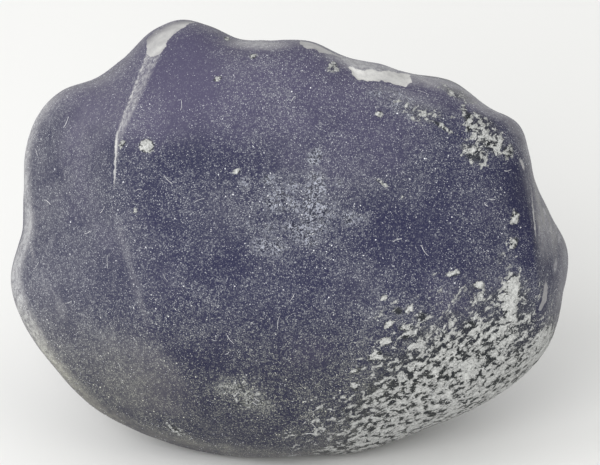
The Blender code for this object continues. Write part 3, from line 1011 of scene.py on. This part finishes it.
stretched = shop.add("ShaderNodeVectorMath", {"operation": "MULTIPLY"}, {0: drawn_at, 1: STREAK_STRETCH})
streaks = shop.step(shop.noise(stretched, 0.8 * MM, 2.0), 0.42, 0.66)
beyond = x_at - (CREASE_OUT + CREASE_LEAN * v_at)
side = shop.step(beyond, 0.0, 0.4 * MM) * shop.step(v_at, -2.0 * MM, 3.0 * MM)
side = side * shop.step(w_at, 0.0, 1.0 * MM)
colour = shop.mix(side * streaks * STREAKS_SHOW, colour, STREAK)
# A painted highlight along the crease at the right, in the breaks' pale colour.
crease_highlight = 1 - shop.step(abs(beyond + 0.25 * MM * (coarse - 0.5)), 0.01 * MM, 0.08 * MM)
crease_highlight = crease_highlight * shop.step(v_at, 0.6 * MM, 2.0 * MM) * (1 - shop.step(v_at, 2.8 * MM, 6.5 * MM))
colour = shop.mix(crease_highlight * on_front * (0.25 + 0.7 * coarse), colour, PALE_BREAK_AND_HIGHLIGHT)
print("the side's streaks and the crease make it", len(material.node_tree.nodes), "nodes")

# %% [markdown]
# ## Breaks and chalk
# A fresh break is paler and finely ribbed. The chalk is a curled noise that the stored crust lifts
# over a threshold, so that it spreads as the crust gets thicker, with pits of dark stone left in
# it. The loose flakes read the same noise later, so they lie just where the chalk is.

# %% Breaks and chalk, over everything else
FLECK_SIZE = 0.52 * MM
FLECK_DETAIL, FLECK_ROUGHNESS, FLECK_CURL = 4.0, 0.64, 0.35
CHALK_FROM, CHALK_GAIN, CHALK_EDGE = 0.700, 0.245, 0.010
flecks = shop.noise(along_crust, FLECK_SIZE, FLECK_DETAIL, FLECK_ROUGHNESS, FLECK_CURL)
striae = shop.noise(along_crust, 0.15 * MM, 2.0, 0.6)
broken = shop.step(scar_here + 0.12 * (coarse - 0.5), -0.01, 0.05)
bare = shop.mix(pale_here, DULL_BREAK, PALE_BREAK_AND_HIGHLIGHT)
shown = 0.20 + 0.58 * shop.step(pale_here, 0.1, 0.34) + 0.25 * clumps
shown = shown + 0.45 * (striae - 0.5) + 0.35 * (coarse - 0.5)
colour = shop.mix(broken * shown, colour, bare)
over = flecks + CHALK_GAIN * crust_here - CHALK_FROM
chalk = shop.step(over, -CHALK_EDGE, CHALK_EDGE) * shop.step(crust_here, 0.02, 0.10)
white = shop.mix(shop.step(0.6 * striae + 0.4 * fine + 1.0 * over, 0.42, 0.78), CHALK_SHADE, CHALK)
colour = shop.mix(shop.step(crust_here, 0.38, 1.05) * (0.92 - 0.4 * dots), colour, PIT_AND_RIM_SHADE)
colour = shop.mix(chalk * 0.96, colour, white)
shop.tree.links.new(colour.socket, shader.inputs["Base Color"])
print("breaks and chalk make it", len(material.node_tree.nodes), "nodes")

# %% [markdown]
# ## How it catches the light
# Frosted stone is dull, the grains are a little glossier and the chalk is duller still. The same
# masks drive a shallow bump, so that what is pale also stands up. A trace of sheen gives the edges
# the soft grey of a dusty surface.

# %% Roughness, bump and constants
roughness = 0.60 - 0.12 * grains + 0.10 * frost_and_sheen_here + 0.25 * chalk
shop.tree.links.new(roughness.socket, shader.inputs["Roughness"])
height = 0.010 * MM * grains + 0.012 * MM * coarse + 0.06 * MM * chalk * (0.7 + 0.6 * striae)
height = height + 0.02 * MM * broken * striae
bump = shop.add("ShaderNodeBump", None, {"Height": height, "Strength": 0.6, "Distance": 1.0})
shop.tree.links.new(bump.socket, shader.inputs["Normal"])
for socket, value in (
    ("IOR", 1.43),
    ("Specular IOR Level", 0.25),
    ("Sheen Weight", 0.04),
    ("Sheen Roughness", 0.4),
    ("Sheen Tint", (0.85, 0.84, 0.9, 1.0)),
):
    shader.inputs[socket].default_value = value
mesh.materials.append(material)
print("frosted fluorite has", len(material.node_tree.nodes), "nodes")

# %% [markdown]
# ## One tree for everything loose
# Loose things lie all over the crystal: flakes of chalk, bright frost grains and dust. Placing
# thousands by hand is hopeless, and particles would be lost when the model is saved, so one
# Geometry Nodes tree scatters a shape over the surface. It takes the shape, how many lie on a
# square metre, a number that says where, their sizes and how far they turn from one heading. Its
# "Chalk Above" keeps flakes to where the chalk's own noise is high. At zero it lets all through.


# %% Build the scattering tree
def scatter_tree():
    """A tree that scatters a shape over the mesh it is given, lying flat, and keeps only that."""
    tree = bpy.data.node_groups.new("scatter", "GeometryNodeTree")
    face = tree.interface
    face.new_socket("Surface", in_out="INPUT", socket_type="NodeSocketGeometry")
    for name, kind in (
        ("Shape", "NodeSocketObject"),
        ("Number Per Square Metre", "NodeSocketFloat"),
        ("Where", "NodeSocketString"),
        ("Smallest", "NodeSocketVector"),
        ("Largest", "NodeSocketVector"),
        ("Heading", "NodeSocketVector"),
        ("Turn", "NodeSocketFloat"),
        ("Lift", "NodeSocketFloat"),
        ("Chalk Above", "NodeSocketFloat"),
        ("Finish", "NodeSocketMaterial"),
        ("Seed", "NodeSocketInt"),
    ):
        face.new_socket(name, in_out="INPUT", socket_type=kind)
    face.new_socket("Scattered", in_out="OUTPUT", socket_type="NodeSocketGeometry")
    nodes = tree.nodes

    def add(kind, settings=None, **inputs):
        """A new node with its settings, and its inputs under their own names."""
        node = nodes.new(kind)
        for name, value in (settings or {}).items():
            setattr(node, name, value)
        for key, value in inputs.items():
            socket = node.inputs[key.replace("_", " ")]
            if isinstance(value, bpy.types.NodeSocket):
                tree.links.new(value, socket)
            else:
                socket.default_value = value
        return node

    given = nodes.new("NodeGroupInput").outputs
    where = add("GeometryNodeInputNamedAttribute", {"data_type": "FLOAT"}, Name=given["Where"])
    often = add("ShaderNodeMath", {"operation": "MULTIPLY"})
    tree.links.new(given["Number Per Square Metre"], often.inputs[0])
    tree.links.new(where.outputs["Attribute"], often.inputs[1])
    points = add(
        "GeometryNodeDistributePointsOnFaces",
        {"distribute_method": "RANDOM"},
        Mesh=given["Surface"],
        Density=often.outputs[0],
        Seed=given["Seed"],
    )
    flat = add(
        "FunctionNodeAlignRotationToVector", {"axis": "Z"}, Vector=points.outputs["Normal"]
    )
    headed = add(
        "FunctionNodeAlignRotationToVector",
        {"axis": "X", "pivot_axis": "Z"},
        Rotation=flat.outputs[0],
        Vector=given["Heading"],
    )
    spin = add("FunctionNodeRandomValue", {"data_type": "FLOAT"}, Seed=given["Seed"])
    against = add("ShaderNodeMath", {"operation": "MULTIPLY"})
    against.inputs[1].default_value = -1.0
    tree.links.new(given["Turn"], against.inputs[0])
    tree.links.new(against.outputs[0], spin.inputs[2])
    tree.links.new(given["Turn"], spin.inputs[3])
    about = add("ShaderNodeCombineXYZ", None, Z=spin.outputs[1])
    turned = add(
        "FunctionNodeRotateRotation",
        {"rotation_space": "LOCAL"},
        Rotation=headed.outputs[0],
        Rotate_By=about.outputs[0],
    )
    size = add("FunctionNodeRandomValue", {"data_type": "FLOAT_VECTOR"}, Seed=given["Seed"])
    tree.links.new(given["Smallest"], size.inputs[0])
    tree.links.new(given["Largest"], size.inputs[1])
    rise = add("ShaderNodeVectorMath", {"operation": "SCALE"}, Scale=given["Lift"])
    tree.links.new(points.outputs["Normal"], rise.inputs[0])
    lifted = add(
        "GeometryNodeSetPosition",
        None,
        Geometry=points.outputs["Points"],
        Offset=rise.outputs[0],
    )
    shape = add("GeometryNodeObjectInfo", None, Object=given["Shape"])
    drawn_here = add("GeometryNodeInputNamedAttribute", {"data_type": "FLOAT_VECTOR"}, Name="drawn")
    turned_here = add(
        "ShaderNodeVectorRotate",
        {"rotation_type": "Z_AXIS"},
        Vector=drawn_here.outputs["Attribute"],
        Angle=-CRUST_TURN,
    )
    stretched = add("ShaderNodeVectorMath", {"operation": "MULTIPLY"})
    stretched.inputs[1].default_value = CRUST_STRETCH
    tree.links.new(turned_here.outputs[0], stretched.inputs[0])
    fleck = add(
        "ShaderNodeTexNoise",
        None,
        Vector=stretched.outputs[0],
        Scale=1 / FLECK_SIZE,
        Detail=FLECK_DETAIL,
        Roughness=FLECK_ROUGHNESS,
        Distortion=FLECK_CURL,
    )
    crusted = add("GeometryNodeInputNamedAttribute", {"data_type": "FLOAT"}, Name="crust")
    raised = add("ShaderNodeMath", {"operation": "MULTIPLY_ADD"})
    tree.links.new(crusted.outputs["Attribute"], raised.inputs[0])
    raised.inputs[1].default_value = CHALK_GAIN
    tree.links.new(fleck.outputs[0], raised.inputs[2])
    chosen = add("ShaderNodeMath", {"operation": "GREATER_THAN"})
    tree.links.new(raised.outputs[0], chosen.inputs[0])
    tree.links.new(given["Chalk Above"], chosen.inputs[1])
    placed = add(
        "GeometryNodeInstanceOnPoints",
        None,
        Points=lifted.outputs[0],
        Selection=chosen.outputs[0],
        Instance=shape.outputs["Geometry"],
        Rotation=turned.outputs[0],
        Scale=size.outputs[0],
    )
    real = add("GeometryNodeRealizeInstances", None, Geometry=placed.outputs[0])
    painted = add(
        "GeometryNodeSetMaterial", None, Geometry=real.outputs[0], Material=given["Finish"]
    )
    end = nodes.new("NodeGroupOutput")
    tree.links.new(painted.outputs[0], end.inputs[0])
    return tree


SCATTER = scatter_tree()
print("the scattering tree has", len(SCATTER.nodes), "nodes")


# %% Run the tree on the crystal and keep the result as a plain mesh
def scatter(name, surface_object, **settings):
    """A new object made of the shapes that the tree scatters over surface_object."""
    carrier = bpy.data.objects.new("carrier", surface_object.data)
    bpy.context.scene.collection.objects.link(carrier)
    modifier = carrier.modifiers.new("scatter", "NODES")
    modifier.node_group = SCATTER
    for item in SCATTER.interface.items_tree:
        key = item.name.replace(" ", "_").lower()
        if item.in_out == "INPUT" and key in settings:
            modifier[item.identifier] = settings[key]
    graph = bpy.context.evaluated_depsgraph_get()
    made = bpy.data.meshes.new_from_object(carrier.evaluated_get(graph))
    bpy.data.objects.remove(carrier)
    made.name = name
    piece = bpy.data.objects.new(name, made)
    bpy.context.scene.collection.objects.link(piece)
    triangles = sum(len(face.vertices) - 2 for face in made.polygons)
    print(name, "has", triangles, "triangles in", len(made.vertices), "points")
    return piece


# %% [markdown]
# ## A flake of chalk
# A flake is an angular plate, thickest in its middle. A ring of uneven corners with one point
# above and one below gives that in sixteen triangles, few enough to repeat thousands of times.
# Three different flakes, scattered with different seeds, hide the repeat.


# %% Shape the flakes
def make_flake(name, reaches, thickness):
    """A closed, angular plate one unit across, with a corner at each of those reaches."""
    bm = bmesh.new()
    ring = []
    for index, reach in enumerate(reaches):
        a = 2 * math.pi * index / len(reaches)
        ring.append(bm.verts.new((reach * math.cos(a), reach * math.sin(a), 0.0)))
    top = bm.verts.new((0.06, -0.04, thickness))
    bottom = bm.verts.new((0.0, 0.0, -thickness))
    for first, second in zip(ring, ring[1:] + ring[:1]):
        bm.faces.new((first, second, top))
        bm.faces.new((second, first, bottom))
    flake_mesh = bpy.data.meshes.new(name)
    bm.to_mesh(flake_mesh)
    bm.free()
    flake = bpy.data.objects.new(name, flake_mesh)
    bpy.context.scene.collection.objects.link(flake)
    return flake


flake_shapes = (
    make_flake("broad_flake", (0.50, 0.34, 0.47, 0.25, 0.52, 0.31, 0.44, 0.27), 0.20),
    make_flake("long_flake", (0.55, 0.22, 0.30, 0.18, 0.50, 0.26, 0.24, 0.20), 0.16),
    make_flake("star_flake", (0.58, 0.17, 0.42, 0.20, 0.50, 0.15, 0.47, 0.22), 0.18),
)
print("three flakes of", len(flake_shapes[0].data.polygons), "triangles")

# %% [markdown]
# ## Chalk
# The chalk is dry and dull, a faintly green white, with a little variation from flake to flake.
# It needs no bump, because the flakes themselves catch the light.

# %% The chalk's material
DULL_CHALK = (0.24, 0.243, 0.238, 1.0)
FRESH_CHALK = (0.55, 0.553, 0.540, 1.0)

chalk_material, shop, shader = start_material("dry_chalk")
place = shop.add("ShaderNodeTexCoord", output=3)
mottle = shop.noise(place, 0.5 * MM, 3.0, 0.6)
speck = shop.noise(place, 0.12 * MM, 2.0, 0.6)
shade = shop.step(mottle + 0.5 * speck, 0.5, 1.0)
colour = shop.mix(shade, DULL_CHALK, FRESH_CHALK)
shop.tree.links.new(colour.socket, shader.inputs["Base Color"])
shop.tree.links.new((0.80 + 0.15 * speck).socket, shader.inputs["Roughness"])
shader.inputs["Specular IOR Level"].default_value = 0.3
print("dry chalk has", len(chalk_material.node_tree.nodes), "nodes")

# %% Scatter the flakes of the crust
SQUARE_MM = 1e6
HEADING_ANGLE = math.radians(36.0)
HEADING = RIGHT * math.cos(HEADING_ANGLE) + UP_THE_FRONT * math.sin(HEADING_ANGLE)
FLAKES_PER_SQUARE_MM = (9.0, 11.0, 9.0)
FIRST_FLAKE_SEED = 11

flake_pieces = []
for index, (shape, per_square_mm) in enumerate(zip(flake_shapes, FLAKES_PER_SQUARE_MM)):
    flakes = scatter(
        f"chalk_flakes_{index + 1}",
        crystal,
        shape=shape,
        number_per_square_metre=per_square_mm * SQUARE_MM,
        where="crust",
        smallest=(0.12 * MM, 0.09 * MM, 0.06 * MM),
        largest=(0.34 * MM, 0.24 * MM, 0.14 * MM),
        heading=HEADING,
        turn=math.radians(110.0),
        lift=0.0,
        chalk_above=CHALK_FROM + CHALK_EDGE,
        finish=chalk_material,
        seed=FIRST_FLAKE_SEED + index,
    )
    flake_pieces.append(flakes)

# %% [markdown]
# ## Bright grains
# Here and there a grain of the frost is larger and stands clear of the surface as a bright
# speck. Each is a tiny eight-sided crystal, the shape that fluorite breaks into.

# %% Scatter bright grains over the whole crystal
DULL_GRAIN = (0.28, 0.288, 0.325, 1.0)
BRIGHT_GRAIN = (0.66, 0.67, 0.70, 1.0)
FEWEST = 0.05

grain_material, shop, shader = start_material("bright_grain")
place = shop.add("ShaderNodeTexCoord", output=3)
speck = shop.noise(place, 0.3 * MM, 1.0)
colour = shop.mix(shop.step(speck, 0.3, 0.7), DULL_GRAIN, BRIGHT_GRAIN)
shop.tree.links.new(colour.socket, shader.inputs["Base Color"])
shader.inputs["Roughness"].default_value = 0.35
grain_where = mesh.attributes.new("grain", "FLOAT", "POINT")
thick = np.clip(0.45 + 0.7 * wobble(surface, 3.0 * MM, 9) + 0.3 * frost, FEWEST, 1.0)
grain_where.data.foreach_set("value", np.where(scar > 0, FEWEST, thick).astype(np.float32))
octahedron = make_flake("grain", (0.5, 0.5, 0.5, 0.5), 0.5)
grains_piece = scatter(
    "bright_grains",
    crystal,
    shape=octahedron,
    number_per_square_metre=3.2 * SQUARE_MM,
    where="grain",
    smallest=(0.05 * MM, 0.05 * MM, 0.05 * MM),
    largest=(0.12 * MM, 0.09 * MM, 0.08 * MM),
    heading=HEADING,
    turn=math.pi,
    lift=0.0,
    finish=grain_material,
    seed=31,
)

# %% [markdown]
# ## Dust
# A few dust fibres have settled on the crystal, each a millimetre or so long and a little bent.
# They are what gives the crystal its scale in the photograph. A fibre is a thin five-sided tube
# along an arc, closed at both ends.


# %% Shape and scatter the fibres
def make_fibre(name, bend, segments=6, sides=5):
    """A closed, slightly bent rod one unit long and one unit thick in its own Y and Z."""
    bm = bmesh.new()
    rings = []
    for index in range(segments + 1):
        t = index / segments - 0.5
        ring = []
        for side in range(sides):
            a = 2 * math.pi * side / sides
            across = 0.5 * math.cos(a) + bend * (0.25 - t * t)
            ring.append(bm.verts.new((t, across, 0.5 * math.sin(a))))
        rings.append(ring)
    for first, second in zip(rings, rings[1:]):
        for side in range(sides):
            after = (side + 1) % sides
            bm.faces.new((first[side], first[after], second[after], second[side]))
    bm.faces.new(rings[0][::-1])
    bm.faces.new(rings[-1])
    bmesh.ops.recalc_face_normals(bm, faces=bm.faces[:])
    fibre_mesh = bpy.data.meshes.new(name)
    bm.to_mesh(fibre_mesh)
    bm.free()
    fibre = bpy.data.objects.new(name, fibre_mesh)
    bpy.context.scene.collection.objects.link(fibre)
    return fibre


DARK_FIBRE = (0.45, 0.45, 0.47, 1.0)
PALE_FIBRE = (0.75, 0.75, 0.76, 1.0)
FIBRE_BEND = 7.0

dust_material, shop, shader = start_material("dust_fibre")
place = shop.add("ShaderNodeTexCoord", output=3)
tone = shop.noise(place, 1.5 * MM, 1.0)
colour = shop.mix(shop.step(tone, 0.35, 0.65), DARK_FIBRE, PALE_FIBRE)
shop.tree.links.new(colour.socket, shader.inputs["Base Color"])
shader.inputs["Roughness"].default_value = 0.7
fibre_shape = make_fibre("fibre", FIBRE_BEND)
fibres_piece = scatter(
    "dust_fibres",
    crystal,
    shape=fibre_shape,
    number_per_square_metre=0.035 * SQUARE_MM,
    where="grain",
    smallest=(0.35 * MM, 0.022 * MM, 0.022 * MM),
    largest=(1.25 * MM, 0.045 * MM, 0.04 * MM),
    heading=HEADING,
    turn=math.pi,
    lift=0.02 * MM,
    finish=dust_material,
    seed=43,
)
for pattern in (*flake_shapes, octahedron, fibre_shape):
    bpy.data.objects.remove(pattern)

# %% [markdown]
# ## Hand the pieces over
# The crystal stands for the solid of the same form. The loose pieces ride with it. How far the
# fine surface strays from the solid is worth a look, so it is measured.

# %% Ride, replace and measure
MEASURE_EVERY = 97
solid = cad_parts[CRYSTAL]
corners = [solid.matrix_world @ vertex.co for vertex in solid.data.vertices]
tree = BVHTree.FromPolygons(corners, [face.vertices[:] for face in solid.data.polygons])
gaps = []
for index in range(0, len(mesh.vertices), MEASURE_EVERY):
    gaps.append(tree.find_nearest(mesh.vertices[index].co)[3] / MM)
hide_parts(CRYSTAL)
pieces = [crystal, *flake_pieces, grains_piece, fibres_piece]
for piece in pieces:
    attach(piece, BODY)
print("the fine surface strays", round(max(gaps), 2), "mm at most, mean", round(sum(gaps) / len(gaps), 3))

# %% [markdown]
# ## The room
# The crystal stands on a plain pale table in a white tent. The tent is a soft even light from
# all sides. Two broad lamps, one at the upper left and one nearer the camera, give the shapes
# their light side and a soft shadow at the right.

# %% Table, tent and lamps
TABLE_HALF_WIDTH = 3.0
TABLE_COLOUR = (0.84, 0.84, 0.83, 1.0)
TENT_COLOUR = (1.0, 1.0, 0.99, 1.0)
TENT_STRENGTH = 0.84

floor_mesh = bpy.data.meshes.new("table")
bm = bmesh.new()
bmesh.ops.create_grid(bm, x_segments=1, y_segments=1, size=TABLE_HALF_WIDTH)
bm.to_mesh(floor_mesh)
bm.free()
floor = bpy.data.objects.new("table", floor_mesh)
bpy.context.scene.collection.objects.link(floor)
floor_material, shop, shader = start_material("pale_table")
shader.inputs["Base Color"].default_value = TABLE_COLOUR
shader.inputs["Roughness"].default_value = 0.8
shader.inputs["Specular IOR Level"].default_value = 0.2
floor_mesh.materials.append(floor_material)

world = bpy.data.worlds.new("white_tent")
world.use_nodes = True
background = world.node_tree.nodes["Background"]
background.inputs["Color"].default_value = TENT_COLOUR
background.inputs["Strength"].default_value = TENT_STRENGTH
bpy.context.scene.world = world


def add_lamp(name, place, width, watts, target):
    """A round soft lamp of that width at a place, turned towards the target."""
    lamp = bpy.data.lights.new(name, "AREA")
    lamp.shape = "DISK"
    lamp.size = width
    lamp.energy = watts
    lamp_object = bpy.data.objects.new(name, lamp)
    bpy.context.scene.collection.objects.link(lamp_object)
    turned = (place - target).to_track_quat("Z", "Y").to_matrix().to_4x4()
    lamp_object.matrix_world = Matrix.Translation(place) @ turned


add_lamp("key", Vector((-0.50, -0.22, 0.40)), 0.45, 1.10, centre)
add_lamp("fill", Vector((-0.16, -0.50, 0.26)), 0.35, 1.90, centre)
print("the room has a table, a tent and two lamps")

# %% [markdown]
# ## The camera
# The photograph looks straight at the broad front from a little above. The camera stands out
# along that direction, far enough that nothing looks drawn out, with a lens to match.

# %% Camera
DISTANCE = 1.50
SENSOR = 36.0
FRAME_WIDTH = 53.8 * MM
AIM = (0.9 * MM, 1.57 * MM)
SEES_TO = 20.0

camera_data = bpy.data.cameras.new("camera")
camera_data.sensor_width = SENSOR
camera_data.lens = SENSOR * DISTANCE / FRAME_WIDTH
camera_data.clip_end = SEES_TO
camera = bpy.data.objects.new("camera", camera_data)
bpy.context.scene.collection.objects.link(camera)
aim = centre + RIGHT * AIM[0] + UP_THE_FRONT * AIM[1]
turned = Matrix((RIGHT, UP_THE_FRONT, OUT_OF_THE_FRONT)).transposed().to_4x4()
camera.matrix_world = Matrix.Translation(aim + OUT_OF_THE_FRONT * DISTANCE) @ turned
bpy.context.scene.camera = camera
bpy.context.scene.view_settings.view_transform = "Standard"
print("the lens is", round(camera_data.lens), "mm long")
